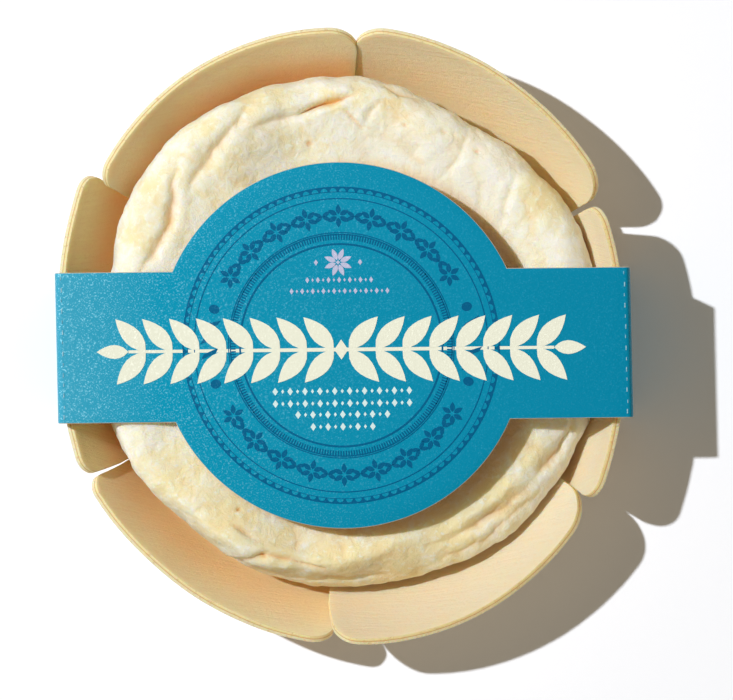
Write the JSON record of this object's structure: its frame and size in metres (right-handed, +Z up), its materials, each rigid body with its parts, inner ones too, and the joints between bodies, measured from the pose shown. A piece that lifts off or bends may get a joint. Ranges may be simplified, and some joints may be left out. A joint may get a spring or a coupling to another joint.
{
  "type": "saint-felicien cheese in a wooden tray with a card band",
  "caption": "Small round soft cheese with a wrinkled cream rind, sitting in a thin bent wood tray and held by a printed card band with a round panel.",
  "frame": {"origin": "on the floor, under the middle of the whole object's box", "axes": "+Z up, +X along the card band, +Y across the band"},
  "size_m": [0.1086, 0.1174, 0.025],
  "materials": {
    "rind": null,
    "poplar": "thin pale poplar plywood, bare and matt, with pale ply at the cut edges",
    "card": "blue pearl-coated card outside, plain pale card inside and at the cut edges"
  },
  "bodies": {
    "root": {"cheese": "rind", "tray": "poplar", "sleeve": "card"}
  },
  "joints": []
}
